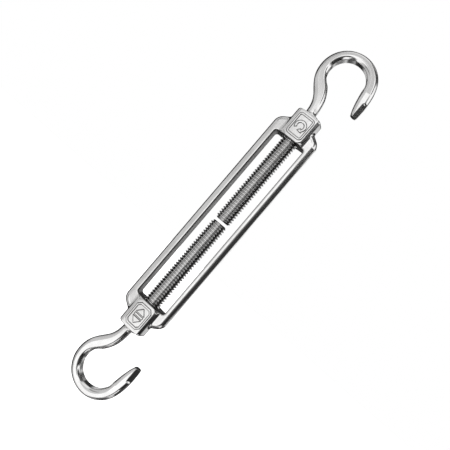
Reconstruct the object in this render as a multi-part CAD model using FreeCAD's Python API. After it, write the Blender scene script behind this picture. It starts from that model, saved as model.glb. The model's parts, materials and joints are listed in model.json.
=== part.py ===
"""Rigging turnbuckle, M6, with an open cast body and a hook at each end.

Frame: Z runs along the thread axis, X across the body towards the hook mouths, and the face
with the raised signs looks towards -Y. The origin is the middle of the body's window, on the
thread axis. All lengths are in millimetres. The turnbuckle is drawn fully closed, with the tips
of its two threaded rods almost touching.
"""

import FreeCAD, Part

import math
import os

Vector = FreeCAD.Vector
ORIGIN = Vector(0, 0, 0)
AXIS_X = Vector(1, 0, 0)
AXIS_Y = Vector(0, 1, 0)
AXIS_Z = Vector(0, 0, 1)
OVERLAP = 0.1

# Body: two rails joined at each end by a boss that carries the thread.
BODY_HALF_LENGTH = 45.7
BODY_HALF_WIDTH = 8.55
WINDOW_HALF_LENGTH = 35.1
WINDOW_HALF_WIDTH = 5.9
WINDOW_CORNER = 1.0
RAIL_DEPTH = 5.8
RAIL_OUTER_ROUND = 1.8
SHOULDER_START = 37.2
SHOULDER_RADIUS = 3.5
SHOULDER_SLOPE = math.radians(33)

BOSS_HALF_WIDTH = 5.15
BOSS_FACE_HALF_WIDTH = 4.3
BOSS_HALF_DEPTH = 3.95
BOSS_RIDGE_ROUND = 1.5
BOSS_EDGE_ROUND = 1.2
BOSS_END_ROUND = 0.6
BOSS_DOME_RADIUS = 25.0
BOSS_FACET = (2.3, 1.1, 1.9)
BORE_RADIUS = 3.05

# Raised border on each boss face, and a plain sign inside the two front ones.
BORDER_HALF_WIDTH = 2.95
BORDER_HALF_HEIGHT = 4.0
BORDER_CENTRE = 40.3
BORDER_CORNER = 1.1
BORDER_LINE = 0.5
RELIEF = 0.22
TURN_SIGN_RADIUS = 1.6
TURN_SIGN_LINE = 0.7
TURN_SIGN_START = math.radians(-50)
TURN_SIGN_END = math.radians(215)
TURN_SIGN_HEAD = math.radians(42)
OPEN_SIGN_HALF_WIDTH = 1.6
OPEN_SIGN_GAP = 0.85
OPEN_SIGN_POINT = 2.7
OPEN_SIGN_HALF_BAR = 0.3

# Thread: M6 x 1 along the whole rod, with 30 degree flanks.
PITCH = 1.0
THREAD_RADIUS = 2.95
THREAD_DEPTH = 0.61
CREST_WIDTH = PITCH / 8
FLANK_WIDTH = THREAD_DEPTH * math.tan(math.radians(30))
ROOT_RADIUS = THREAD_RADIUS - THREAD_DEPTH
ROD_TIP = 0.5
ROD_TIP_CHAMFER = 0.7
THREAD_END = BODY_HALF_LENGTH - 0.4
COLLAR_RADIUS = 2.5
COLLAR_END = BODY_HALF_LENGTH + 0.7

# Hook: a forged bar that runs between an inner and an outer contour in the XZ plane. Each
# contour is a neck curve, a round bend and a nose curve; a pull is a curve handle's length.
NECK_BASE = COLLAR_END - 0.5
NECK_INNER_X = 1.0
NECK_OUTER_X = -2.5
NECK_INNER_PULLS = (12.5, 5.6)
NECK_OUTER_PULLS = (8.4, 8.5)
BEND_INNER_CENTRE = Vector(0.95, 0, 62.6)
BEND_OUTER_CENTRE = Vector(1.2, 0, 62.15)
BEND_INNER_RADIUS = 6.35
BEND_OUTER_RADIUS = 10.2
BEND_INNER_END = math.radians(20)
BEND_OUTER_END = math.radians(25)
SEAT_RADIUS = 6.5
TIP_HEIGHT = 54.0
TIP_INNER_X = 9.6
TIP_OUTER_X = 11.85
TIP_INNER_LEAN = math.radians(26)
TIP_OUTER_LEAN = math.radians(-3.6)
NOSE_INNER_PULLS = (1.6, 3.9)
NOSE_OUTER_PULLS = (3.9, 4.0)
BAR_DEPTH = 4.6
BAR_BEVEL = 1.0
TIP_DEPTH = 3.0
TIP_BEVEL = 0.6
TAPER_START = 0.84
SECTIONS = (14, 18, 10)

# Flat ground on the outer front edge of the nose.
FLAT_NORMAL = Vector(0.62, -0.78, -0.09)
FLAT_POINT = Vector(10.45, -1.85, 58.0)
FLAT_TOP = 58.9


# ---------------------------------------------------------------- helpers

def mirrored(shape):
    """The same shape on the other side of the XY plane, which also changes a thread's hand."""
    return shape.mirror(ORIGIN, AXIS_Z)


def on_circle(centre, radius, angle):
    """Point on a circle in the XZ plane, with the angle measured from +X towards +Z."""
    return centre + radius * Vector(math.cos(angle), 0, math.sin(angle))


def arc_edge(centre, radius, start, end):
    points = [on_circle(centre, radius, angle) for angle in (start, (start + end) / 2, end)]
    return Part.Arc(*points).toShape()


def rounded_rectangle(half_width, half_height, corner):
    """Closed wire in the XZ plane, centred on the origin."""
    edges = []
    for quarter, (side_x, side_z) in enumerate([(1, 1), (-1, 1), (-1, -1), (1, -1)]):
        centre = Vector(side_x * (half_width - corner), 0, side_z * (half_height - corner))
        start = quarter * math.pi / 2
        arc = arc_edge(centre, corner, start, start + math.pi / 2)
        if edges:
            edges.append(Part.makeLine(edges[-1].lastVertex().Point, arc.firstVertex().Point))
        edges.append(arc)
    edges.append(Part.makeLine(edges[-1].lastVertex().Point, edges[0].firstVertex().Point))
    return Part.Wire(edges)


def polygon(points):
    """Closed wire in the XZ plane."""
    vectors = [Vector(x, 0, z) for x, z in points]
    return Part.makePolygon(vectors + vectors[:1])


def slab(wire, y_from, y_to):
    """Solid made by extruding a wire in the XZ plane along Y."""
    solid = Part.Face(wire).extrude(Vector(0, y_to - y_from, 0))
    solid.translate(Vector(0, y_from, 0))
    return solid


# ---------------------------------------------------------------- body

def body_outline():
    """Outer edge of the plate seen from the front. Its ends lie inside the bosses."""
    centre = Vector(BODY_HALF_WIDTH - SHOULDER_RADIUS, 0, SHOULDER_START)
    turn = math.pi / 2 - SHOULDER_SLOPE
    arc = arc_edge(centre, SHOULDER_RADIUS, 0, turn)
    arc_start, arc_end = arc.firstVertex().Point, arc.lastVertex().Point
    run = arc_end.x - BOSS_HALF_WIDTH + BOSS_EDGE_ROUND
    top = arc_end + Vector(-run, 0, run * math.tan(SHOULDER_SLOPE))
    quarter = [
        Part.makeLine(Vector(BODY_HALF_WIDTH, 0, 0), arc_start),
        arc,
        Part.makeLine(arc_end, top),
        Part.makeLine(top, Vector(0, 0, top.z)),
    ]
    upper = quarter + [edge.mirror(ORIGIN, AXIS_X) for edge in quarter]
    lower = [mirrored(edge) for edge in upper]
    return Part.Wire(Part.__sortEdges__(upper + lower))


def make_plate():
    """Both rails and the shoulders, rounded along the outside, with the window cut out."""
    plate = slab(body_outline(), -RAIL_DEPTH / 2, RAIL_DEPTH / 2).removeSplitter()
    rim = [edge for edge in plate.Edges if abs(edge.CenterOfMass.y) > 0.49 * RAIL_DEPTH]
    plate = plate.makeFillet(RAIL_OUTER_ROUND, rim)
    window = rounded_rectangle(WINDOW_HALF_WIDTH, WINDOW_HALF_LENGTH, WINDOW_CORNER)
    return plate.cut(slab(window, -RAIL_DEPTH, RAIL_DEPTH))


def corner_facet(side_x, side_y):
    """Wedge that takes the boss's corner off where it meets the window."""
    corner = Vector(side_x * BOSS_FACE_HALF_WIDTH, side_y * BOSS_HALF_DEPTH, WINDOW_HALF_LENGTH)
    along_x, along_y, along_z = BOSS_FACET
    points = [
        corner,
        corner - Vector(side_x * along_x, 0, 0),
        corner - Vector(0, side_y * along_y, 0),
        corner + Vector(0, 0, along_z),
    ]
    faces = []
    for left_out in range(len(points)):
        triangle = points[:left_out] + points[left_out + 1:]
        faces.append(Part.Face(Part.makePolygon(triangle + triangle[:1])))
    return Part.Solid(Part.Shell(faces))


def make_boss():
    """Upper boss with drafted sides, rounded edges and a domed end, before it is bored."""
    height = BODY_HALF_LENGTH + 1 - WINDOW_HALF_LENGTH
    half_width, face_width, depth = BOSS_HALF_WIDTH, BOSS_FACE_HALF_WIDTH, BOSS_HALF_DEPTH
    section = [(half_width, 0), (face_width, depth), (-face_width, depth),
               (-half_width, 0), (-face_width, -depth), (face_width, -depth)]
    corners = [Vector(x, y, WINDOW_HALF_LENGTH) for x, y in section]
    block = Part.Face(Part.makePolygon(corners + corners[:1])).extrude(height * AXIS_Z)
    long_edges = [edge for edge in block.Edges if abs(edge.Length - height) < OVERLAP]
    corner_edges = [edge for edge in long_edges if abs(edge.CenterOfMass.y) > OVERLAP]
    block = block.makeFillet(BOSS_EDGE_ROUND, corner_edges)
    ridges = [edge for edge in block.Edges
              if abs(edge.Length - height) < OVERLAP and abs(edge.CenterOfMass.y) < OVERLAP]
    block = block.makeFillet(BOSS_RIDGE_ROUND, ridges)
    dome_start = Vector(0, -2 * BOSS_HALF_DEPTH, BODY_HALF_LENGTH - BOSS_DOME_RADIUS)
    dome = Part.makeCylinder(BOSS_DOME_RADIUS, 4 * BOSS_HALF_DEPTH, dome_start, AXIS_Y)
    block = block.common(dome)
    end_face = max(block.Faces, key=lambda face: face.CenterOfMass.z)
    block = block.makeFillet(BOSS_END_ROUND, end_face.Edges)
    return block.cut([corner_facet(sx, sy) for sx in (-1, 1) for sy in (-1, 1)])


def raised(wire, side):
    """Raise a flat shape on the front (side -1) or back (side 1) face of a boss."""
    sunk = side * (BOSS_HALF_DEPTH - OVERLAP)
    proud = side * (BOSS_HALF_DEPTH + RELIEF)
    return slab(wire, min(sunk, proud), max(sunk, proud))


def round_border(side):
    """Raised border with rounded corners."""
    outer = rounded_rectangle(BORDER_HALF_WIDTH, BORDER_HALF_HEIGHT, BORDER_CORNER)
    inner = rounded_rectangle(BORDER_HALF_WIDTH - BORDER_LINE, BORDER_HALF_HEIGHT - BORDER_LINE,
                              BORDER_CORNER - BORDER_LINE)
    return raised(outer, side).cut(raised(inner, side))


def cut_corner_rectangle(width, height, cut):
    return polygon([
        (width, height - cut), (width - cut, height), (cut - width, height), (-width, height - cut),
        (-width, cut - height), (cut - width, -height), (width - cut, -height), (width, cut - height),
    ])


def cut_corner_border(side):
    """Raised border with its corners cut off."""
    inner_cut = BORDER_CORNER - BORDER_LINE * (2 - math.sqrt(2))
    outer = cut_corner_rectangle(BORDER_HALF_WIDTH, BORDER_HALF_HEIGHT, BORDER_CORNER)
    inner = cut_corner_rectangle(BORDER_HALF_WIDTH - BORDER_LINE, BORDER_HALF_HEIGHT - BORDER_LINE,
                                 inner_cut)
    return raised(outer, side).cut(raised(inner, side))


def turning_sign():
    """A curved arrow, which stands for turning the body."""
    outer = TURN_SIGN_RADIUS + TURN_SIGN_LINE / 2
    inner = TURN_SIGN_RADIUS - TURN_SIGN_LINE / 2
    outer_arc = arc_edge(ORIGIN, outer, TURN_SIGN_START, TURN_SIGN_END)
    inner_arc = arc_edge(ORIGIN, inner, TURN_SIGN_START, TURN_SIGN_END)
    band = Part.Wire([
        outer_arc,
        Part.makeLine(outer_arc.lastVertex().Point, inner_arc.lastVertex().Point),
        inner_arc,
        Part.makeLine(inner_arc.firstVertex().Point, outer_arc.firstVertex().Point),
    ])
    head = [
        on_circle(ORIGIN, outer + TURN_SIGN_LINE / 2, TURN_SIGN_START),
        on_circle(ORIGIN, inner - TURN_SIGN_LINE / 2, TURN_SIGN_START),
        on_circle(ORIGIN, TURN_SIGN_RADIUS, TURN_SIGN_START - TURN_SIGN_HEAD),
    ]
    return [raised(band, -1), raised(Part.makePolygon(head + head[:1]), -1)]


def opening_sign():
    """Two triangles that point apart with a bar between them, which stand for opening."""
    width, bar = OPEN_SIGN_HALF_WIDTH, OPEN_SIGN_HALF_BAR
    shapes = [polygon([(-width, -bar), (width, -bar), (width, bar), (-width, bar)])]
    for way in (-1, 1):
        base, point = way * OPEN_SIGN_GAP, way * OPEN_SIGN_POINT
        shapes.append(polygon([(-width, base), (width, base), (0, point)]))
    return [raised(shape, -1) for shape in shapes]


def make_body():
    """The cast body: plate, bosses, borders and signs, bored through for the rods."""
    upper_relief = [round_border(-1), round_border(1)] + turning_sign()
    lower_relief = [cut_corner_border(-1), cut_corner_border(1)] + opening_sign()
    for relief, height in ((upper_relief, BORDER_CENTRE), (lower_relief, -BORDER_CENTRE)):
        for piece in relief:
            piece.translate(Vector(0, 0, height))
    boss = make_boss()
    pieces = [boss, mirrored(boss)] + upper_relief + lower_relief
    body = make_plate().fuse(pieces).removeSplitter()
    bore = Part.makeCylinder(BORE_RADIUS, BODY_HALF_LENGTH + 1 - WINDOW_HALF_LENGTH + 1,
                             Vector(0, 0, WINDOW_HALF_LENGTH - 1))
    return body.cut([bore, mirrored(bore)])


# ---------------------------------------------------------------- hook bolts

def thread_profile():
    """Radius and height of the thread's corners over one pitch, from crest to crest."""
    return [
        (THREAD_RADIUS, 0.0),
        (THREAD_RADIUS, CREST_WIDTH),
        (ROOT_RADIUS, CREST_WIDTH + FLANK_WIDTH),
        (ROOT_RADIUS, PITCH - FLANK_WIDTH),
        (THREAD_RADIUS, PITCH),
    ]


def thread_turn():
    """Crest, flank, root and flank of one right-hand turn, as true helical faces."""
    spirals = []
    for radius, height in thread_profile():
        spiral = Part.makeHelix(PITCH, PITCH, radius)
        spiral.translate(Vector(0, 0, height))
        spirals.append(spiral.Edges[0])
    return [Part.makeRuledSurface(low, high) for low, high in zip(spirals, spirals[1:])]


def thread_closure(height):
    """Winding floor and flat step that close the thread's first or last turn."""
    rim = Part.makeHelix(PITCH, PITCH, THREAD_RADIUS).Edges[0]
    floor = Part.makeRuledSurface(Part.makeLine(ORIGIN, Vector(0, 0, PITCH)), rim)
    step = Part.Face(polygon([(0, 0)] + thread_profile() + [(0, PITCH)]))
    return [face.translated(Vector(0, 0, height)) for face in (floor, step)]


def make_thread(start, end):
    """Right-hand threaded rod between two heights, with a chamfered tip at the start."""
    first = start - 1.5 * PITCH
    turns = math.ceil((end - start) / PITCH) + 2
    faces = thread_closure(first) + thread_closure(first + turns * PITCH)
    turn_faces = thread_turn()
    for turn in range(turns):
        shift = Vector(0, 0, first + turn * PITCH)
        faces += [face.translated(shift) for face in turn_faces]
    skin = Part.makeCompound(faces)
    skin.sewShape()
    rod = Part.Solid(skin.Shells[0])
    if rod.Volume < 0:
        rod.reverse()
    spare = 3 * PITCH
    tip_cone = Part.makeCone(THREAD_RADIUS - ROD_TIP_CHAMFER, THREAD_RADIUS + PITCH,
                             ROD_TIP_CHAMFER + PITCH, Vector(0, 0, start))
    below = Part.makeCylinder(2 * THREAD_RADIUS, spare + PITCH, Vector(0, 0, start - spare))
    above = Part.makeCylinder(2 * THREAD_RADIUS, spare + PITCH, Vector(0, 0, end))
    return rod.cut([below.cut(tip_cone), above])


def curve(start, start_way, end, end_way, pulls):
    """Point along a smooth curve that leaves start_way and arrives end_way, for t from 0 to 1."""
    bezier = Part.BezierCurve()
    bezier.setPoles([start, start + pulls[0] * start_way, end - pulls[1] * end_way, end])
    return bezier.value


def contour(neck_x, neck_pulls, centre, radius, bend_end, tip_x, tip_lean, nose_pulls):
    """Neck, bend and nose of one contour, each a function of t from 0 to 1."""
    def bend(t):
        return on_circle(centre, radius, math.pi + (bend_end - math.pi) * t)

    neck = curve(Vector(neck_x, 0, NECK_BASE), AXIS_Z, bend(0), AXIS_Z, neck_pulls)
    bend_way = Vector(math.sin(bend_end), 0, -math.cos(bend_end))
    tip_way = Vector(math.sin(tip_lean), 0, -math.cos(tip_lean))
    nose = curve(bend(1), bend_way, Vector(tip_x, 0, TIP_HEIGHT), tip_way, nose_pulls)
    return [neck, bend, nose]


def bar_section(inner, outer, depth, bevel):
    """Bevelled rectangle that spans from the inner to the outer contour, square to the bar."""
    across = outer - inner
    section = cut_corner_rectangle(across.Length / 2, depth / 2, bevel)
    turn = FreeCAD.Rotation(across, Vector(), AXIS_Y, "XZY")
    section.Placement = FreeCAD.Placement((inner + outer) / 2, turn)
    return section


def nose_flat():
    """Block to cut away, which leaves a flat on the outer front edge of the nose."""
    length = FLAT_TOP - TIP_HEIGHT + BAR_DEPTH
    turn = FreeCAD.Rotation(FLAT_NORMAL, Vector(), AXIS_Z, "XZY")
    corner = turn.multVec(Vector(0, -BAR_DEPTH, FLAT_TOP - FLAT_POINT.z - length))
    block = Part.makeBox(BAR_DEPTH, 2 * BAR_DEPTH, length)
    block.Placement = FreeCAD.Placement(FLAT_POINT + corner, turn)
    return block


def make_hook():
    """The hook from inside the collar to its tip, with a true round seat in its bend."""
    inner = contour(NECK_INNER_X, NECK_INNER_PULLS, BEND_INNER_CENTRE, BEND_INNER_RADIUS,
                    BEND_INNER_END, TIP_INNER_X, TIP_INNER_LEAN, NOSE_INNER_PULLS)
    outer = contour(NECK_OUTER_X, NECK_OUTER_PULLS, BEND_OUTER_CENTRE, BEND_OUTER_RADIUS,
                    BEND_OUTER_END, TIP_OUTER_X, TIP_OUTER_LEAN, NOSE_OUTER_PULLS)
    stations = [(part, step / count) for part, count in enumerate(SECTIONS) for step in range(count)]
    stations.append((len(SECTIONS) - 1, 1.0))
    sections = []
    for index, (part, t) in enumerate(stations):
        along = index / (len(stations) - 1)
        taper = max(0.0, (along - TAPER_START) / (1 - TAPER_START))
        depth = BAR_DEPTH + (TIP_DEPTH - BAR_DEPTH) * taper
        bevel = BAR_BEVEL + (TIP_BEVEL - BAR_BEVEL) * taper
        sections.append(bar_section(inner[part](t), outer[part](t), depth, bevel))
    hook = Part.makeLoft(sections, True, False)
    seat_start = BEND_INNER_CENTRE - BAR_DEPTH * AXIS_Y
    seat = Part.makeCylinder(SEAT_RADIUS, 2 * BAR_DEPTH, seat_start, AXIS_Y)
    return hook.cut([seat, nose_flat()])


def make_hook_bolt():
    """Upper hook bolt in one piece: threaded rod, collar and hook."""
    rod = make_thread(ROD_TIP, THREAD_END)
    collar = Part.makeCylinder(COLLAR_RADIUS, COLLAR_END - THREAD_END, Vector(0, 0, THREAD_END))
    core_start = THREAD_END - 2 * PITCH
    core = Part.makeCylinder(ROOT_RADIUS - OVERLAP, COLLAR_END - OVERLAP - core_start,
                             Vector(0, 0, core_start))
    return rod.fuse(make_hook().fuse([collar, core]))


def export(name, shape):
    """Write one node, which has to be a single sound solid."""
    if len(shape.Solids) != 1 or not shape.Solids[0].isValid():
        raise ValueError(f"{name} is not one valid solid")
    shape.Solids[0].exportStep(f"parts/{name}.step")
    print(f"{name}: {shape.Volume:.1f} mm3")


def main():
    os.makedirs("parts", exist_ok=True)
    upper_hook_bolt = make_hook_bolt()
    export("frame_body", make_body())
    export("upper_hook_bolt", upper_hook_bolt)
    export("lower_hook_bolt", mirrored(upper_hook_bolt))


main()
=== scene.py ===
"""Looks of the rigging turnbuckle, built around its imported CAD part.

The cast body and the two hook bolts are each rebuilt as one fine mesh on the CAD part's own
dimensions, and stand for their CAD nodes. Shapes are worked out in millimetres and written in
metres. Z runs along the thread axis, and the face with the raised signs looks towards -Y.
"""

import json
import math

import bpy
import numpy as np
from mathutils import Matrix, Vector


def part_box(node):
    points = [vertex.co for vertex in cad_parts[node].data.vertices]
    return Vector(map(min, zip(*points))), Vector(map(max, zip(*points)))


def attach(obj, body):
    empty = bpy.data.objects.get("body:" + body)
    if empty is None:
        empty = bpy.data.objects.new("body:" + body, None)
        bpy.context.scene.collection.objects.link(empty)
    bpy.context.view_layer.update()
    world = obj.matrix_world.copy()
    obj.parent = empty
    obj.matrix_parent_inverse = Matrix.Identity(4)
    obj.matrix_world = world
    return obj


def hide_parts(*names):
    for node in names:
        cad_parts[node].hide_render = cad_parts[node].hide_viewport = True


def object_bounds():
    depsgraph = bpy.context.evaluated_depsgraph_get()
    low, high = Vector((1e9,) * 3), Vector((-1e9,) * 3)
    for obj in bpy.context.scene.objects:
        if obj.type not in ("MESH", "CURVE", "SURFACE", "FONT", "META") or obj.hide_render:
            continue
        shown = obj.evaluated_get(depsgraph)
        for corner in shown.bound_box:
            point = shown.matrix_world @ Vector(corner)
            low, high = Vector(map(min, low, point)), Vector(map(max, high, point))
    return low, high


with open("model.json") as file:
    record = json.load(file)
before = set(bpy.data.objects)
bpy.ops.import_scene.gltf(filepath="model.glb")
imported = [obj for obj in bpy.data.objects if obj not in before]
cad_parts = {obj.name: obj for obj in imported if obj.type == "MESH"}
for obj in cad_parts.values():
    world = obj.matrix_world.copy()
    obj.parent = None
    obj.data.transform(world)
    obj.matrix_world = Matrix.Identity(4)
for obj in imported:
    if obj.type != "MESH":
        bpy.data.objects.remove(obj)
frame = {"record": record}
cad_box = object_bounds()

MM = 0.001


def half_size(node):
    """Largest distance of a node from the frame's origin along X, Y and Z, in millimetres."""
    low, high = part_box(node)
    return [max(-a, b) / MM for a, b in zip(low, high)]


# Body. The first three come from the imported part, the rest are its other dimensions.
BODY_HALF_WIDTH, BODY_HALF_RELIEF, BODY_HALF_LENGTH = half_size("frame_body")
RELIEF = 0.22
BOSS_HALF_DEPTH = BODY_HALF_RELIEF - RELIEF
BOSS_HALF_WIDTH = 5.15
BOSS_FACE_HALF_WIDTH = 4.3
BOSS_RIDGE_SOFTNESS = 0.33
BOSS_EDGE_ROUND = 1.2
BOSS_END_ROUND = 0.6
BOSS_DOME_RADIUS = 25.0
BOSS_FACET = (2.3, 1.1, 1.9)
BORE_RADIUS = 3.05
WINDOW_HALF_LENGTH = 35.1
WINDOW_HALF_WIDTH = 5.9
WINDOW_CORNER = 1.0
RAIL_DEPTH = 5.8
RAIL_OUTER_ROUND = 1.8
SHOULDER_START = 37.2
SHOULDER_RADIUS = 3.5
SHOULDER_SLOPE = math.radians(33)

# Soft edges of the casting.
SHOULDER_BLEND = 0.55
WINDOW_BLEND = 0.5
FACET_BLEND = 0.18
BORE_BLEND = 0.3
RELIEF_BLEND = 0.12
RELIEF_ROUND = 0.06

# Raised borders and signs.
BORDER_HALF_WIDTH = 2.95
BORDER_HALF_HEIGHT = 4.0
BORDER_CENTRE = 40.3
BORDER_CORNER = 1.1
BORDER_LINE = 0.5
TURN_SIGN_RADIUS = 1.6
TURN_SIGN_LINE = 0.7
TURN_SIGN_START = math.radians(-50)
TURN_SIGN_END = math.radians(215)
TURN_SIGN_HEAD = math.radians(42)
OPEN_SIGN_HALF_WIDTH = 1.6
OPEN_SIGN_GAP = 0.85
OPEN_SIGN_POINT = 2.7
OPEN_SIGN_HALF_BAR = 0.3

# Where the skin inside the window is as cast, and darkened as painted shade: full and no effect, as
# distances from its walls.
CAST_SKIN_REACH = (0.06, 0.25)

# Painted shade along the front and back edges of the window: how dark on the scale of the painted
# shade values, the distances from its walls between which it fades, and the distances from the
# middle plane between which it begins.
RIM_DARKNESS = 0.5
RIM_REACH = (0.15, 0.4)
RIM_START = (1.0, 1.8)

# Painted shade at the foot of the raised lines: distances beside a line between which it fades.
FOOT_REACH = (0.08, 0.25)

# How far out of the surface its hollows, which get painted shade, are looked for.
HOLLOW_REACH = 0.3

# Grid on which the body's surface is found.
CELL = 0.15
RAIL_CELL = 1.0
GRID_MARGIN = 0.6

# Thread, collar and rod tip.
PITCH = 1.0
THREAD_RADIUS = 2.95
THREAD_DEPTH = 0.61
CREST_WIDTH = PITCH / 8
FLANK_WIDTH = THREAD_DEPTH * math.tan(math.radians(30))
ROOT_RADIUS = THREAD_RADIUS - THREAD_DEPTH
ROD_TIP = 0.5
ROD_TIP_CHAMFER = 0.7
THREAD_END = BODY_HALF_LENGTH - 0.4
COLLAR_RADIUS = 2.5
COLLAR_END = BODY_HALF_LENGTH + 0.7
COLLAR_ROUND = 0.25
# How dark the painted shade in the thread roots is.
ROOT_DARKNESS = 0.25
AROUND = 96
RINGS_PER_PITCH = 16
TIP_FACE_SHARES = (0.3, 0.6, 0.85, 0.96)
COLLAR_RINGS = 5

# Hook.
NECK_BASE = COLLAR_END - 0.5
NECK_INNER_X = 1.0
NECK_OUTER_X = -2.5
NECK_INNER_PULLS = (12.5, 5.6)
NECK_OUTER_PULLS = (8.4, 8.5)
BEND_INNER_CENTRE = (0.95, 62.6)
BEND_OUTER_CENTRE = (1.2, 62.15)
BEND_INNER_RADIUS = 6.35
BEND_OUTER_RADIUS = 10.2
BEND_INNER_END = math.radians(20)
BEND_OUTER_END = math.radians(25)
SEAT_RADIUS = 6.5
TIP_HEIGHT = 54.0
TIP_INNER_X = 9.6
TIP_OUTER_X = 11.85
TIP_INNER_LEAN = math.radians(26)
TIP_OUTER_LEAN = math.radians(-3.6)
NOSE_INNER_PULLS = (1.6, 3.9)
NOSE_OUTER_PULLS = (3.9, 4.0)
BAR_DEPTH = 4.6
BAR_BEVEL = 1.0
TIP_DEPTH = 3.0
TIP_BEVEL = 0.6
BEVEL_SOFTNESS = 0.33
TIP_ROUND = 0.2
TAPER_START = 0.84
PART_SHARES = (14, 18, 10)
PART_RINGS = (44, 84, 44)
NOSE_ROUND_RINGS = 6
NOSE_FACE_SHARES = (0.7, 0.245)
FLAT_NORMAL = (0.62, -0.78, -0.09)
FLAT_POINT = (10.45, -1.85, 58.0)
FLAT_TOP = 58.9
FLAT_EDGE = 0.2

# Steel colours as level and warmth: polished steel between two tones, the skin inside the window
# between two darker ones that paint the shade in there, and painted shade in the hollows, at the
# feet of the raised lines, along the window's edges and in the thread roots.
POLISHED_TONES = ((0.66, 0.004), (0.60, 0.008))
SHADED_CAST_TONES = ((0.16, 0.01), (0.26, 0.01))
PAINTED_SHADE_TONE = (0.07, 0.02)
PAINTED_SHADE_SHARE = 0.9

# Steel texture: scales of the noises, and what the cast skin adds in roughness and grain.
CLOUD_SCALE = 180.0
WAVE_SCALE = 420.0
GRAIN_SCALE = 2600.0
SCRATCH_SCALE = 9000.0
SCRATCH_STRETCH = 0.08
CAST_ROUGHNESS = 0.3
CAST_GRAIN = 0.03

# Cards that the steel mirrors: level, left and right side angle, low and high rise, and softness of
# the edges, in degrees. Later cards cover earlier ones. They turn with the camera, and CAMERA_SIDE
# is the side angle of the camera itself.
ROOM_LEVEL = 0.8
STUDIO_CARDS = [
    (1.55, -32, 12, -95, 18, 3),
    (0.86, -80, -10.8, -15.5, 15.5, 1.0),
    (0.80, -80, 3, 18.5, 44, 1.5),
    (1.55, 3, 92, 18.5, 46, 1.5),
    (0.05, 30, 64, 27, 50, 4),
    (0.02, 14, 126, -42, 17.5, 1.5),
    (0.55, 12, 25, -12, 12, 6),
    (0.16, 25, 44, -12, 12, 6),
    (0.05, 52, 126, -12, 12, 6),
    (0.24, 92, 126, -34, -13, 5),
    (1.40, 44, 76, -48, -28, 3),
    (0.12, 20, 130, -85, -52, 4),
    (1.2, -110, 10, 54, 95, 6),
    (0.10, 16, 130, 50, 95, 4),
    (0.05, -62, -50, 15, 50, 3),
    (0.05, -62, -50, -50, -17, 3),
]
# Dark ring behind the object: its level, and the angles off the camera over which it starts and ends.
RING_LEVEL = 0.02
RING_START = (102, 107)
RING_END = (148, 156)
BACK_CARDS = [
    (0.62, 132, 152, -19, 19, 2),
    (1.20, 158, 178, -16, 16, 3),
    (0.90, 106, 152, 12, 15.4, 1),
    (0.90, 106, 152, -15.4, -12, 1),
    (0.03, -180, -158, -30, 30, 3),
    (0.90, -180, -146, 40, 58, 3),
    (0.90, -180, -146, -58, -40, 3),
    (0.90, 171, 184, 48, 62, 3),
    (0.90, 171, 184, -62, -48, 3),
]

# Floor, in metres. The gap is to the lower hook when it is run right out.
FLOOR_GAP = 2 * MM
FLOOR_SIZE = 2.0

# Camera: angle from the front towards +X, angle above the level plane, lean, distance from the
# middle of the body in metres, lens in millimetres and shift.
CAMERA_SIDE = math.radians(10.388)
CAMERA_RISE = math.radians(0.055)
CAMERA_ROLL = math.radians(40.477)
CAMERA_DISTANCE = 0.16551
CAMERA_LENS = 40.0
CAMERA_SENSOR = 36.0
CAMERA_SHIFT = (0.008564, -0.005633)


# ---------------------------------------------------------------- distance fields, in mm

def smooth_union(a, b, blend):
    share = np.clip(0.5 + 0.5 * (b - a) / blend, 0, 1)
    return b * (1 - share) + a * share - blend * share * (1 - share)


def smooth_common(a, b, blend):
    return -smooth_union(-a, -b, blend)


def round_common(a, b, radius):
    """Common part of two shapes, with a true round of this radius where they meet."""
    a, b = a + radius, b + radius
    return np.hypot(np.maximum(a, 0), np.maximum(b, 0)) + np.minimum(np.maximum(a, b), 0) - radius


def rounded_rectangle(x, z, half_width, half_height, corner):
    return round_common(np.abs(x) - half_width, np.abs(z) - half_height, corner)


def polygon(x, z, points):
    """Signed distance to a closed polygon in the XZ plane."""
    nearest = np.full(np.broadcast(x, z).shape, np.inf)
    inside = np.zeros(nearest.shape, bool)
    for (x0, z0), (x1, z1) in zip(points, points[1:] + points[:1]):
        along_x, along_z = x1 - x0, z1 - z0
        share = ((x - x0) * along_x + (z - z0) * along_z) / (along_x ** 2 + along_z ** 2)
        share = np.clip(share, 0, 1)
        nearest = np.minimum(nearest, np.hypot(x - x0 - share * along_x, z - z0 - share * along_z))
        if z0 != z1:
            crossing = x0 + (z - z0) * along_x / along_z
            inside ^= ((z0 > z) != (z1 > z)) & (x < crossing)
    return np.where(inside, -nearest, nearest)


def border_line(shape):
    """Line that runs just inside the edge of a shape."""
    return np.abs(shape + BORDER_LINE / 2) - BORDER_LINE / 2


def round_border(x, z):
    return border_line(rounded_rectangle(x, z, BORDER_HALF_WIDTH, BORDER_HALF_HEIGHT, BORDER_CORNER))


def cut_corner_border(x, z):
    width, height, cut = BORDER_HALF_WIDTH, BORDER_HALF_HEIGHT, BORDER_CORNER
    corner = (np.abs(x) + np.abs(z) - width - height + cut) / math.sqrt(2)
    return border_line(np.maximum(np.maximum(np.abs(x) - width, np.abs(z) - height), corner))


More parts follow.
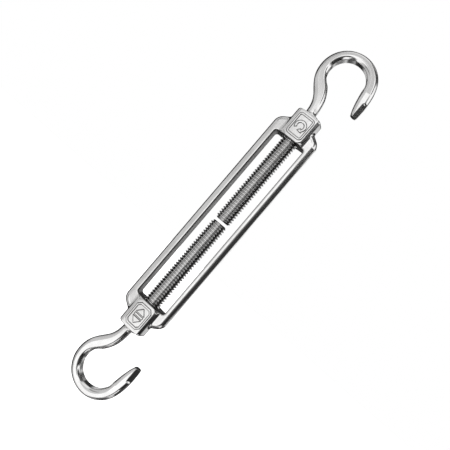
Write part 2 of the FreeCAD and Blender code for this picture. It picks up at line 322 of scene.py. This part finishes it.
def turning_sign(x, z):
    """A curved arrow, which stands for turning the body."""
    middle = (TURN_SIGN_START + TURN_SIGN_END) / 2
    half_turn = (TURN_SIGN_END - TURN_SIGN_START) / 2
    angle = np.abs(np.angle(np.exp(1j * (np.arctan2(z, x) - middle))))
    radius = np.hypot(x, z)
    ring = np.abs(radius - TURN_SIGN_RADIUS) - TURN_SIGN_LINE / 2
    band = np.maximum(ring, (angle - half_turn) * TURN_SIGN_RADIUS)
    head = []
    for reach, turn in ((TURN_SIGN_LINE, 0), (-TURN_SIGN_LINE, 0), (0, TURN_SIGN_HEAD)):
        at = TURN_SIGN_START - turn
        head.append(((TURN_SIGN_RADIUS + reach) * math.cos(at), (TURN_SIGN_RADIUS + reach) * math.sin(at)))
    return np.minimum(band, polygon(x, z, head))


def opening_sign(x, z):
    """Two triangles that point apart with a bar between them, which stand for opening."""
    width = OPEN_SIGN_HALF_WIDTH
    bar = np.maximum(np.abs(x) - width, np.abs(z) - OPEN_SIGN_HALF_BAR)
    triangle = [(-width, OPEN_SIGN_GAP), (width, OPEN_SIGN_GAP), (0, OPEN_SIGN_POINT)]
    return np.minimum(bar, polygon(x, np.abs(z), triangle))


def raised(line, out):
    """A flat shape raised from a boss face. out is the distance from the middle of the boss."""
    top = round_common(line, out - BODY_HALF_RELIEF, RELIEF_ROUND)
    return np.maximum(top, BOSS_HALF_DEPTH - 1 - out)


def plate_field(x, y, z):
    """Both rails and the shoulders, with their rounded outer rim."""
    across, along = np.abs(x), np.abs(z)
    corner_x, corner_z = BODY_HALF_WIDTH - SHOULDER_RADIUS, SHOULDER_START
    slope_x, slope_z = math.sin(SHOULDER_SLOPE), math.cos(SHOULDER_SLOPE)
    from_x, from_z = across - corner_x, along - corner_z
    sloped = from_x * slope_x + from_z * slope_z
    at_corner = (from_z > 0) & (from_x * slope_z > from_z * slope_x)
    outline = np.where(at_corner, np.hypot(from_x, from_z), np.maximum(from_x, sloped))
    return round_common(outline - SHOULDER_RADIUS, np.abs(y) - RAIL_DEPTH / 2, RAIL_OUTER_ROUND)


def window_field(x, z):
    return rounded_rectangle(x, z, WINDOW_HALF_WIDTH, WINDOW_HALF_LENGTH, WINDOW_CORNER)


def boss_field(x, y, z):
    """Both bosses, with rounded edges, domed ends and cut corners towards the window."""
    along = np.abs(z)
    draft = math.atan2(BOSS_HALF_WIDTH - BOSS_FACE_HALF_WIDTH, BOSS_HALF_DEPTH)
    from_ridge = np.hypot(y, BOSS_RIDGE_SOFTNESS)
    wall = (np.abs(x) - BOSS_HALF_WIDTH) * math.cos(draft) + from_ridge * math.sin(draft)
    sides = round_common(wall, np.abs(y) - BOSS_HALF_DEPTH, BOSS_EDGE_ROUND)
    dome = np.hypot(x, along - BODY_HALF_LENGTH + BOSS_DOME_RADIUS) - BOSS_DOME_RADIUS
    boss = round_common(sides, dome, BOSS_END_ROUND)
    cut_x, cut_y, cut_z = BOSS_FACET
    facet = 1 - (BOSS_FACE_HALF_WIDTH - np.abs(x)) / cut_x - (BOSS_HALF_DEPTH - np.abs(y)) / cut_y
    facet = facet - (along - WINDOW_HALF_LENGTH) / cut_z
    facet = facet / math.sqrt(cut_x ** -2 + cut_y ** -2 + cut_z ** -2)
    boss = smooth_common(boss, facet, FACET_BLEND)
    return np.maximum(boss, WINDOW_HALF_LENGTH - 2 - along)


def relief_field(x, y, z):
    """Borders on the front and back faces, and the signs on the front."""
    height = np.abs(z) - BORDER_CENTRE
    upper = z > 0
    border = np.where(upper, round_border(x, height), cut_corner_border(x, height))
    sign = np.where(upper, turning_sign(x, z - BORDER_CENTRE), opening_sign(x, height))
    return np.minimum(raised(border, np.abs(y)), raised(sign, -y))


def body_field(x, y, z):
    """Signed distance to the cast body, negative inside."""
    body = smooth_union(plate_field(x, y, z), boss_field(x, y, z), SHOULDER_BLEND)
    body = smooth_common(body, -window_field(x, z), WINDOW_BLEND)
    body = smooth_union(body, relief_field(x, y, z), RELIEF_BLEND)
    return smooth_common(body, BORE_RADIUS - np.hypot(x, y), BORE_BLEND)


# ---------------------------------------------------------------- surface of a field

def body_grid():
    """Grid lines along X, Y and Z, close together except along the plain rails."""
    def lines(reach, step):
        count = math.ceil((reach + GRID_MARGIN) / step)
        return (np.arange(-count, count) + 0.5) * step

    fine_from = WINDOW_HALF_LENGTH - 1.5
    rail = np.linspace(-fine_from, fine_from, round(2 * fine_from / RAIL_CELL))
    fine = np.arange(fine_from + CELL, BODY_HALF_LENGTH + GRID_MARGIN, CELL)
    along = np.concatenate([-fine[::-1], rail, fine])
    return [lines(BODY_HALF_WIDTH, CELL), lines(BODY_HALF_RELIEF, CELL), along]


def gradient(field, points):
    """Direction in which a field grows at each point."""
    step = 0.01
    slopes = []
    for axis in np.eye(3) * step:
        slopes.append(field(*(points + axis).T) - field(*(points - axis).T))
    slopes = np.stack(slopes, axis=1)
    return slopes / np.maximum(np.linalg.norm(slopes, axis=1, keepdims=True), 1e-9)


def cell_points(axes, values):
    """One point in each cell that the surface crosses, and the number of each such cell."""
    inside = values < 0
    shape = tuple(n - 1 for n in values.shape)
    corners = [(i, j, k) for i in (0, 1) for j in (0, 1) for k in (0, 1)]
    count = np.zeros(shape, int)
    for i, j, k in corners:
        count += inside[i:i + shape[0], j:j + shape[1], k:k + shape[2]]
    cells = np.argwhere((count > 0) & (count < 8))
    total = np.zeros((len(cells), 3))
    crossings = np.zeros(len(cells))
    for axis in range(3):
        for start in corners:
            if start[axis]:
                continue
            a = cells + start
            b = a.copy()
            b[:, axis] += 1
            value_a, value_b = values[tuple(a.T)], values[tuple(b.T)]
            crossed = (value_a < 0) != (value_b < 0)
            share = np.where(crossed, value_a / np.where(crossed, value_a - value_b, 1), 0)
            place_a = np.stack([axes[i][a[:, i]] for i in range(3)], axis=1)
            place_b = np.stack([axes[i][b[:, i]] for i in range(3)], axis=1)
            total += np.where(crossed[:, None], place_a + share[:, None] * (place_b - place_a), 0)
            crossings += crossed
    numbers = np.full(shape, -1)
    numbers[tuple(cells.T)] = np.arange(len(cells))
    return total / crossings[:, None], numbers


def cell_faces(values, numbers):
    """A quad around each grid edge that the surface crosses, facing outwards."""
    inside = values < 0
    faces = []
    for axis in range(3):
        side, up = (axis + 1) % 3, (axis + 2) % 3
        near = [slice(None)] * 3
        far = [slice(None)] * 3
        near[axis], far[axis] = slice(None, -1), slice(1, None)
        crossed = inside[tuple(near)] != inside[tuple(far)]
        edges = np.argwhere(crossed)
        inner = np.ones(len(edges), bool)
        for other in (side, up):
            inner &= (edges[:, other] > 0) & (edges[:, other] < values.shape[other] - 1)
        edges = edges[inner]
        ring = []
        for back_side, back_up in ((1, 1), (0, 1), (0, 0), (1, 0)):
            cell = edges.copy()
            cell[:, side] -= back_side
            cell[:, up] -= back_up
            ring.append(numbers[tuple(cell.T)])
        quads = np.stack(ring, axis=1)
        starts_inside = inside[tuple(edges.T)]
        faces.append(np.where(starts_inside[:, None], quads, quads[:, ::-1]))
    return np.concatenate(faces)


def field_surface(field, axes):
    """Even quads over the surface of a field, each point moved on to the true surface."""
    x, y, z = axes
    values = field(x[:, None, None], y[None, :, None], z[None, None, :])
    points, numbers = cell_points(axes, values)
    for _ in range(3):
        points = points - gradient(field, points) * field(*points.T)[:, None]
    return points, cell_faces(values, numbers)


# ---------------------------------------------------------------- hook bolts, in mm

def ramp(value, start, end):
    """Smooth step from 0 at start to 1 at end."""
    share = np.clip((value - start) / (end - start), 0, 1)
    return share * share * (3 - 2 * share)


ANGLES = np.arange(AROUND) * 2 * math.pi / AROUND


def round_ring(radius, height):
    """Ring around the thread axis. radius may be one number or one for each angle."""
    return np.stack([radius * np.cos(ANGLES), radius * np.sin(ANGLES), np.full(AROUND, height)], axis=1)


def thread_radius(height):
    """Radius of the thread at each angle, for a right-hand thread."""
    phase = (height / PITCH - ANGLES / (2 * math.pi)) % 1 * PITCH
    from_crest = np.abs((phase - CREST_WIDTH / 2 + PITCH / 2) % PITCH - PITCH / 2) - CREST_WIDTH / 2
    depth = np.clip(from_crest / FLANK_WIDTH, 0, 1) * THREAD_DEPTH
    return THREAD_RADIUS - depth


def rod_rings():
    """Rod tip with its chamfer, thread, run-out and collar."""
    tip_radius = THREAD_RADIUS - ROD_TIP_CHAMFER
    rings = [round_ring(tip_radius * share, ROD_TIP) for share in TIP_FACE_SHARES]
    turns = (THREAD_END - ROD_TIP) / PITCH
    for height in np.linspace(ROD_TIP, THREAD_END, round(turns * RINGS_PER_PITCH)):
        chamfer = tip_radius + height - ROD_TIP
        run_out = COLLAR_RADIUS + 2 * (THREAD_END - height)
        rings.append(round_ring(np.minimum(thread_radius(height), min(chamfer, run_out)), height))
    for turn in np.linspace(0, math.pi / 2, COLLAR_RINGS):
        inset = COLLAR_ROUND * (1 - math.cos(turn))
        rings.append(round_ring(COLLAR_RADIUS - inset, COLLAR_END - COLLAR_ROUND * (1 - math.sin(turn))))
    return rings


def curve(start, start_way, end, end_way, pulls):
    """Point along a smooth curve that leaves start_way and arrives end_way, for t from 0 to 1."""
    poles = [start, start + pulls[0] * start_way, end - pulls[1] * end_way, end]

    def point(t):
        shares = ((1 - t) ** 3, 3 * t * (1 - t) ** 2, 3 * t * t * (1 - t), t ** 3)
        return sum(share * pole for share, pole in zip(shares, poles))

    return point


def contour(neck_x, neck_pulls, centre, radius, bend_end, tip_x, tip_lean, nose_pulls):
    """Neck, bend and nose of one contour in the XZ plane, each a function of t from 0 to 1."""
    def bend(t):
        angle = math.pi + (bend_end - math.pi) * t
        return np.array(centre) + radius * np.array([math.cos(angle), math.sin(angle)])

    ahead = np.array([0.0, 1.0])
    neck = curve(np.array([neck_x, NECK_BASE]), ahead, bend(0), ahead, neck_pulls)
    bend_way = np.array([math.sin(bend_end), -math.cos(bend_end)])
    tip_way = np.array([math.sin(tip_lean), -math.cos(tip_lean)])
    nose = curve(bend(1), bend_way, np.array([tip_x, TIP_HEIGHT]), tip_way, nose_pulls)
    return [neck, bend, nose]


def section_reach(half_width, half_depth, bevel):
    """Distance from the middle of a bevelled rectangle to its soft-edged outline, at each angle."""
    way_x, way_y = np.abs(np.cos(ANGLES)), np.abs(np.sin(ANGLES))
    diagonal = (half_width + half_depth - bevel) / math.sqrt(2)
    sharp = np.minimum(half_width / np.maximum(way_x, 1e-9), half_depth / np.maximum(way_y, 1e-9))
    sharp = np.minimum(sharp, diagonal * math.sqrt(2) / (way_x + way_y))
    reach = sharp
    for _ in range(6):
        x, y = reach * way_x, reach * way_y
        outline = smooth_common(x - half_width, y - half_depth, BEVEL_SOFTNESS)
        outline = smooth_common(outline, (x + y) / math.sqrt(2) - diagonal, BEVEL_SOFTNESS)
        reach = reach - outline
    return reach


def section_ring(inner, outer, half_depth, bevel, inset=0.0, ahead=0.0):
    """Bevelled rectangle between the two contours, as one point for each angle."""
    across = (inner - outer) / np.linalg.norm(inner - outer)
    half_width = np.linalg.norm(inner - outer) / 2 - inset
    reach = section_reach(half_width, half_depth - inset, bevel)
    along = np.array([-across[1], across[0]])
    middle = (inner + outer) / 2 + ahead * along
    side = reach * np.cos(ANGLES)
    return np.stack([middle[0] + side * across[0], reach * np.sin(ANGLES), middle[1] + side * across[1]],
                    axis=1)


def hook_stations():
    """Inner point, outer point, half depth and bevel along the hook."""
    inner = contour(NECK_INNER_X, NECK_INNER_PULLS, BEND_INNER_CENTRE, BEND_INNER_RADIUS,
                    BEND_INNER_END, TIP_INNER_X, TIP_INNER_LEAN, NOSE_INNER_PULLS)
    outer = contour(NECK_OUTER_X, NECK_OUTER_PULLS, BEND_OUTER_CENTRE, BEND_OUTER_RADIUS,
                    BEND_OUTER_END, TIP_OUTER_X, TIP_OUTER_LEAN, NOSE_OUTER_PULLS)
    stations = []
    for part, rings in enumerate(PART_RINGS):
        last = part == len(PART_RINGS) - 1
        for t in np.linspace(0, 1, rings, endpoint=last):
            share = (sum(PART_SHARES[:part]) + t * PART_SHARES[part]) / sum(PART_SHARES)
            taper = max(0.0, (share - TAPER_START) / (1 - TAPER_START))
            depth = BAR_DEPTH + (TIP_DEPTH - BAR_DEPTH) * taper
            bevel = BAR_BEVEL + (TIP_BEVEL - BAR_BEVEL) * taper
            stations.append((inner[part](t), outer[part](t), depth / 2, bevel))
    return stations


def hook_rings():
    """The hook from the collar to its rounded tip."""
    stations = [station for station in hook_stations() if station[0][1] > COLLAR_END + 0.1]
    rings = []
    for station in stations[:-1]:
        rings.append(section_ring(*station))
    inner, outer, half_depth, bevel = stations[-1]
    for turn in np.linspace(0, math.pi / 2, NOSE_ROUND_RINGS):
        inset = TIP_ROUND * (1 - math.cos(turn))
        back = TIP_ROUND * (1 - math.sin(turn))
        rings.append(section_ring(inner, outer, half_depth, bevel, inset, -back))
    middle = rings[-1].mean(axis=0)
    last = rings[-1]
    for share in NOSE_FACE_SHARES:
        rings.append(middle + share * (last - middle))
    return rings


def shape_hook(points):
    """Cut the round seat and the flat on the nose into the hook's points."""
    seat_x, seat_z = BEND_INNER_CENTRE
    from_x, from_z = points[:, 0] - seat_x, points[:, 2] - seat_z
    distance = np.hypot(from_x, from_z)
    push = np.where(distance < SEAT_RADIUS, SEAT_RADIUS / np.maximum(distance, 1), 1)
    points[:, 0] = seat_x + from_x * push
    points[:, 2] = seat_z + from_z * push
    normal = np.array(FLAT_NORMAL) / np.linalg.norm(FLAT_NORMAL)
    proud = np.maximum((points - np.array(FLAT_POINT)) @ normal, 0)
    in_reach = ramp(-points[:, 2], -FLAT_TOP - FLAT_EDGE, -FLAT_TOP) * (points[:, 0] > seat_x)
    return points - (proud * in_reach)[:, None] * normal


def tube(rings):
    """Points and faces of a closed tube through rings, with a point in the middle of each end."""
    points = np.concatenate([rings[0].mean(axis=0)[None]] + rings + [rings[-1].mean(axis=0)[None]])
    ring_count = len(rings)
    here = np.arange(AROUND)
    after = (here + 1) % AROUND
    faces = []
    for ring in range(ring_count - 1):
        low, high = 1 + ring * AROUND, 1 + (ring + 1) * AROUND
        faces += np.stack([low + here, low + after, high + after, high + here], axis=1).tolist()
    last = 1 + (ring_count - 1) * AROUND
    end = last + AROUND
    faces += [[0, 1 + int(b), 1 + int(a)] for a, b in zip(here, after)]
    faces += [[end, last + int(a), last + int(b)] for a, b in zip(here, after)]
    return points, faces


# ---------------------------------------------------------------- node materials

class Nodes:
    """Builds a node tree, with numbers, sockets and node outputs used alike as inputs."""

    def __init__(self, tree):
        self.tree = tree

    def add(self, kind, values=(), **settings):
        node = self.tree.nodes.new(kind)
        for name, value in settings.items():
            setattr(node, name, value)
        for name, value in dict(values).items():
            self.put(node.inputs[name], value)
        return node

    def put(self, socket, value):
        if isinstance(value, bpy.types.NodeSocket):
            self.tree.links.new(value, socket)
        else:
            socket.default_value = value

    def math(self, operation, *inputs):
        node = self.add("ShaderNodeMath", enumerate(inputs), operation=operation)
        return node.outputs[0]

    def spread(self, value, start, end, low, high):
        """Smoothly maps start..end to low..high, and holds outside."""
        inputs = {"Value": value, "From Min": start, "From Max": end, "To Min": low, "To Max": high}
        node = self.add("ShaderNodeMapRange", inputs, interpolation_type="SMOOTHSTEP")
        return node.outputs["Result"]

    def noise(self, place, scale, detail=2.0, roughness=0.5):
        inputs = {"Vector": place, "Scale": scale, "Detail": detail, "Roughness": roughness}
        return self.add("ShaderNodeTexNoise", inputs).outputs["Fac"]

    def stretch(self, place, scale):
        inputs = {"Vector": place, "Scale": scale}
        return self.add("ShaderNodeMapping", inputs).outputs["Vector"]

    def blend(self, share, a, b):
        node = self.add("ShaderNodeMix", data_type="RGBA")
        self.put(node.inputs["Factor"], share)
        colours = [socket for socket in node.inputs if socket.type == "RGBA"]
        self.put(colours[0], a)
        self.put(colours[1], b)
        return [socket for socket in node.outputs if socket.type == "RGBA"][0]

    def attribute(self, name):
        return self.add("ShaderNodeAttribute", attribute_name=name).outputs["Fac"]


def grey(level, warmth=0.0):
    return (level * (1 + warmth), level, level * (1 - warmth), 1)


def steel_material(name, polish, texture, grain):
    """Stainless steel. polish is the roughness, texture the height of its waviness and grain in mm."""
    material = bpy.data.materials.new(name)
    material.use_nodes = True
    nodes = Nodes(material.node_tree)
    shader = material.node_tree.nodes["Principled BSDF"]
    place = nodes.add("ShaderNodeTexCoord").outputs["Object"]
    painted_shade = nodes.attribute("painted_shade")
    cast_and_shade_share = nodes.attribute("cast_skin_shade")
    cloud = nodes.noise(place, CLOUD_SCALE, 3.0)
    fine = nodes.noise(place, GRAIN_SCALE, 2.0, 0.6)
    scratch = nodes.noise(nodes.stretch(place, (1.0, 1.0, SCRATCH_STRETCH)), SCRATCH_SCALE, 2.0, 0.6)

    light_tone, dark_tone = [grey(*tone) for tone in POLISHED_TONES]
    polished_colour = nodes.blend(nodes.spread(cloud, 0.35, 0.7, 0, 1), light_tone, dark_tone)
    # The skin inside the window and the bores is rougher as cast. Its dark colour is painted shade.
    dark_skin, light_skin = [grey(*tone) for tone in SHADED_CAST_TONES]
    shaded_skin = nodes.blend(nodes.spread(fine, 0.35, 0.65, 0, 1), dark_skin, light_skin)
    colour = nodes.blend(cast_and_shade_share, polished_colour, shaded_skin)
    # Painted shade: darker in the hollows, at the feet of the raised lines, along the window's edges and
    # in the thread roots.
    colour = nodes.blend(nodes.spread(painted_shade, 0.05, 0.6, 0, PAINTED_SHADE_SHARE), colour, grey(*PAINTED_SHADE_TONE))
    nodes.put(shader.inputs["Base Color"], colour)
    shader.inputs["Metallic"].default_value = 1

    rough = nodes.math("ADD", polish, nodes.spread(cloud, 0.3, 0.7, -0.02, 0.05))
    rough = nodes.math("ADD", rough, nodes.spread(scratch, 0.45, 0.7, 0, 0.08))
    rough = nodes.math("ADD", rough, nodes.math("MULTIPLY", cast_and_shade_share, CAST_ROUGHNESS))
    nodes.put(shader.inputs["Roughness"], rough)

    height = nodes.math("MULTIPLY", nodes.noise(place, WAVE_SCALE, 2.0), texture)
    height = nodes.math("ADD", height, nodes.math("MULTIPLY", scratch, grain))
    skin_grain = nodes.math("MULTIPLY", nodes.math("MULTIPLY", fine, cast_and_shade_share), CAST_GRAIN)
    height = nodes.math("ADD", height, skin_grain)
    bump = nodes.add("ShaderNodeBump", {"Height": height, "Distance": MM})
    nodes.put(shader.inputs["Normal"], bump.outputs["Normal"])
    return material


# ---------------------------------------------------------------- pieces

def make_piece(name, points, faces, material, attributes, body, node):
    """One mesh object in metres, with values per point that its material reads."""
    mesh = bpy.data.meshes.new(name)
    faces = faces if isinstance(faces, list) else faces.tolist()
    mesh.from_pydata((points * MM).tolist(), [], faces)
    mesh.shade_smooth()
    for attribute_name, values in attributes.items():
        attribute = mesh.attributes.new(attribute_name, "FLOAT", "POINT")
        attribute.data.foreach_set("value", np.asarray(values, np.float32))
    mesh.materials.append(material)
    piece = bpy.data.objects.new(name, mesh)
    bpy.context.scene.collection.objects.link(piece)
    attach(piece, body)
    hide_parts(node)
    return piece


def cavity_of(field, points):
    """How far each point of a surface lies in a hollow, for the painted shade there: 0 on open faces, up
    to 1.
    """
    outside = points + HOLLOW_REACH * gradient(field, points)
    return np.clip(1 - field(*outside.T) / HOLLOW_REACH, 0, 1)


def relief_foot(points):
    """Painted shade at the foot of the raised lines on the boss faces: 1 there, falling to 0 beside them.
    """
    x, y, z = points.T
    height = np.abs(z) - BORDER_CENTRE
    border = np.where(z > 0, round_border(x, height), cut_corner_border(x, height))
    sign = np.where(z > 0, turning_sign(x, z - BORDER_CENTRE), opening_sign(x, height))
    line = np.where(y < 0, np.minimum(border, sign), border)
    on_face = ramp(np.abs(y), BOSS_HALF_DEPTH - 0.15, BOSS_HALF_DEPTH - 0.02)
    below_top = 1 - ramp(np.abs(y), BODY_HALF_RELIEF - 0.1, BODY_HALF_RELIEF - 0.03)
    return on_face * below_top * (1 - ramp(line, *FOOT_REACH))


def window_rim(points):
    """Painted shade beside the front and back edges of the window: 1 there, falling to 0 away from them.
    """
    x, y, z = points.T
    return (1 - ramp(np.abs(window_field(x, z)), *RIM_REACH)) * ramp(np.abs(y), *RIM_START)


def cast_skin(points):
    """1 inside the window and the bores, where the casting isn't polished and is darkened as painted
    shade, and 0 elsewhere.
    """
    x, y, z = points.T
    in_window = 1 - ramp(np.abs(window_field(x, z)), *CAST_SKIN_REACH)
    near_bore = np.hypot(x, y) < BORE_RADIUS + CAST_SKIN_REACH[1]
    return np.maximum(in_window, near_bore & (np.abs(z) > WINDOW_HALF_LENGTH))


def make_body(material):
    points, faces = field_surface(body_field, body_grid())
    # Painted shade in the hollows, at the feet of the raised lines, and along the window's front and back
    # edges.
    hollow = np.maximum(cavity_of(body_field, points), relief_foot(points))
    painted_shade = np.maximum(hollow, RIM_DARKNESS * window_rim(points))
    attributes = {"painted_shade": painted_shade, "cast_skin_shade": cast_skin(points)}
    piece = make_piece("cast_body", points, faces, material, attributes, "body", "frame_body")


def make_bolt(name, body, node, side, material):
    """Hook bolt as one closed skin. side is 1 for the upper one, -1 for its mirror image."""
    rod = rod_rings()
    points, faces = tube(rod + hook_rings())
    rod_points = 1 + len(rod) * AROUND
    points[rod_points:] = shape_hook(points[rod_points:])
    radius = np.hypot(points[:, 0], points[:, 1])
    # Painted shade, darker towards the thread roots.
    painted_shade = np.zeros(len(points))
    threaded = slice(1 + len(TIP_FACE_SHARES) * AROUND, rod_points - COLLAR_RINGS * AROUND)
    painted_shade[threaded] = ROOT_DARKNESS * ramp(radius[threaded], THREAD_RADIUS, ROOT_RADIUS)
    points[:, 2] *= side
    if side < 0:
        faces = [face[::-1] for face in faces]
    attributes = {"painted_shade": painted_shade, "cast_skin_shade": np.zeros(len(points))}
    piece = make_piece(name, points, faces, material, attributes, body, node)


# ---------------------------------------------------------------- studio

def heading(nodes, parts):
    """Angle of a direction around the thread axis in degrees, 0 towards -Y, positive towards +X."""
    angle = nodes.math("ARCTAN2", parts["X"], nodes.math("MULTIPLY", parts["Y"], -1.0))
    return nodes.math("MULTIPLY", angle, math.degrees(1))


def lay_card(nodes, side, rise, behind, card):
    """The light behind, with one card in front of it."""
    level, left, right, low, high, soft = card
    mask = nodes.spread(side, left - soft, left + soft, 0, 1)
    mask = nodes.math("MULTIPLY", mask, nodes.spread(side, right - soft, right + soft, 1, 0))
    mask = nodes.math("MULTIPLY", mask, nodes.spread(rise, low - soft, low + soft, 0, 1))
    mask = nodes.math("MULTIPLY", mask, nodes.spread(rise, high - soft, high + soft, 1, 0))
    return nodes.blend(mask, behind, grey(level))


def make_world():
    """White studio seen by the camera, and the cards and dark ring that the steel mirrors."""
    world = bpy.data.worlds.new("studio")
    bpy.context.scene.world = world
    world.use_nodes = True
    nodes = Nodes(world.node_tree)
    way = nodes.add("ShaderNodeTexCoord").outputs["Generated"]
    parts = nodes.add("ShaderNodeSeparateXYZ", {"Vector": way}).outputs
    to_camera = nodes.add("ShaderNodeVectorTransform", {"Vector": (0.0, 0.0, -1.0)}, vector_type="VECTOR",
                          convert_from="CAMERA", convert_to="WORLD").outputs["Vector"]
    eye = nodes.add("ShaderNodeSeparateXYZ", {"Vector": to_camera}).outputs

    side = nodes.math("SUBTRACT", heading(nodes, parts), heading(nodes, eye))
    side = nodes.math("WRAP", nodes.math("ADD", side, math.degrees(CAMERA_SIDE)), 180.0, -180.0)
    rise = nodes.math("MULTIPLY", nodes.math("ARCSINE", parts["Z"]), math.degrees(1))
    toward = nodes.add("ShaderNodeVectorMath", {0: way, 1: to_camera}, operation="DOT_PRODUCT")
    off_camera = nodes.math("ARCCOSINE", toward.outputs["Value"])
    off_camera = nodes.math("MULTIPLY", off_camera, math.degrees(1))

    light = grey(ROOM_LEVEL)
    for card in STUDIO_CARDS:
        light = lay_card(nodes, side, rise, light, card)
    in_ring = nodes.math("MULTIPLY", nodes.spread(off_camera, *RING_START, 0, 1),
                         nodes.spread(off_camera, *RING_END, 1, 0))
    light = nodes.blend(in_ring, light, grey(RING_LEVEL))
    for card in BACK_CARDS:
        light = lay_card(nodes, side, rise, light, card)
    seen = nodes.add("ShaderNodeLightPath").outputs["Is Camera Ray"]
    background = world.node_tree.nodes["Background"]
    nodes.put(background.inputs["Color"], nodes.blend(seen, light, grey(1.0)))


def make_floor():
    """Plain white floor under the lower hook, low enough for the hook when it is run right out."""
    joints = frame["record"]["behaviour"]["joints"]
    travel = max(joint["range_m"][1] for joint in joints)
    floor_height = cad_box[0][2] - travel - FLOOR_GAP
    bpy.ops.mesh.primitive_plane_add(size=FLOOR_SIZE, location=(0, 0, floor_height))
    floor = bpy.context.object
    floor.name = "floor"
    floor.visible_glossy = False
    material = bpy.data.materials.new("floor_white")
    material.use_nodes = True
    shader = material.node_tree.nodes["Principled BSDF"]
    shader.inputs["Base Color"].default_value = grey(0.9)
    shader.inputs["Roughness"].default_value = 0.9
    shader.inputs["Emission Color"].default_value = grey(1.0)
    shader.inputs["Emission Strength"].default_value = 1.0
    floor.data.materials.append(material)


def make_camera():
    """Camera in front of the body and a little to its right, rolled so that the body leans."""
    back = Vector((math.sin(CAMERA_SIDE) * math.cos(CAMERA_RISE),
                   -math.cos(CAMERA_SIDE) * math.cos(CAMERA_RISE), math.sin(CAMERA_RISE)))
    level = Vector((math.cos(CAMERA_SIDE), math.sin(CAMERA_SIDE), 0))
    upright = back.cross(level)
    right = math.cos(CAMERA_ROLL) * level + math.sin(CAMERA_ROLL) * upright
    up = math.cos(CAMERA_ROLL) * upright - math.sin(CAMERA_ROLL) * level
    data = bpy.data.cameras.new("camera")
    data.sensor_width = CAMERA_SENSOR
    data.lens = CAMERA_LENS
    data.shift_x, data.shift_y = CAMERA_SHIFT
    data.clip_start = 0.001
    camera = bpy.data.objects.new("camera", data)
    camera.matrix_world = Matrix((right, up, back)).transposed().to_4x4()
    camera.matrix_world.translation = back * CAMERA_DISTANCE
    bpy.context.scene.collection.objects.link(camera)
    bpy.context.scene.camera = camera


make_body(steel_material("cast_stainless", polish=0.13, texture=0.012, grain=0.002))
bolt_steel = steel_material("bolt_stainless", polish=0.12, texture=0.006, grain=0.002)
make_bolt("upper_bolt", "upper_hook", "upper_hook_bolt", 1, bolt_steel)
make_bolt("lower_bolt", "lower_hook", "lower_hook_bolt", -1, bolt_steel)
make_world()
make_floor()
make_camera()
bpy.context.scene.view_settings.view_transform = "Standard"
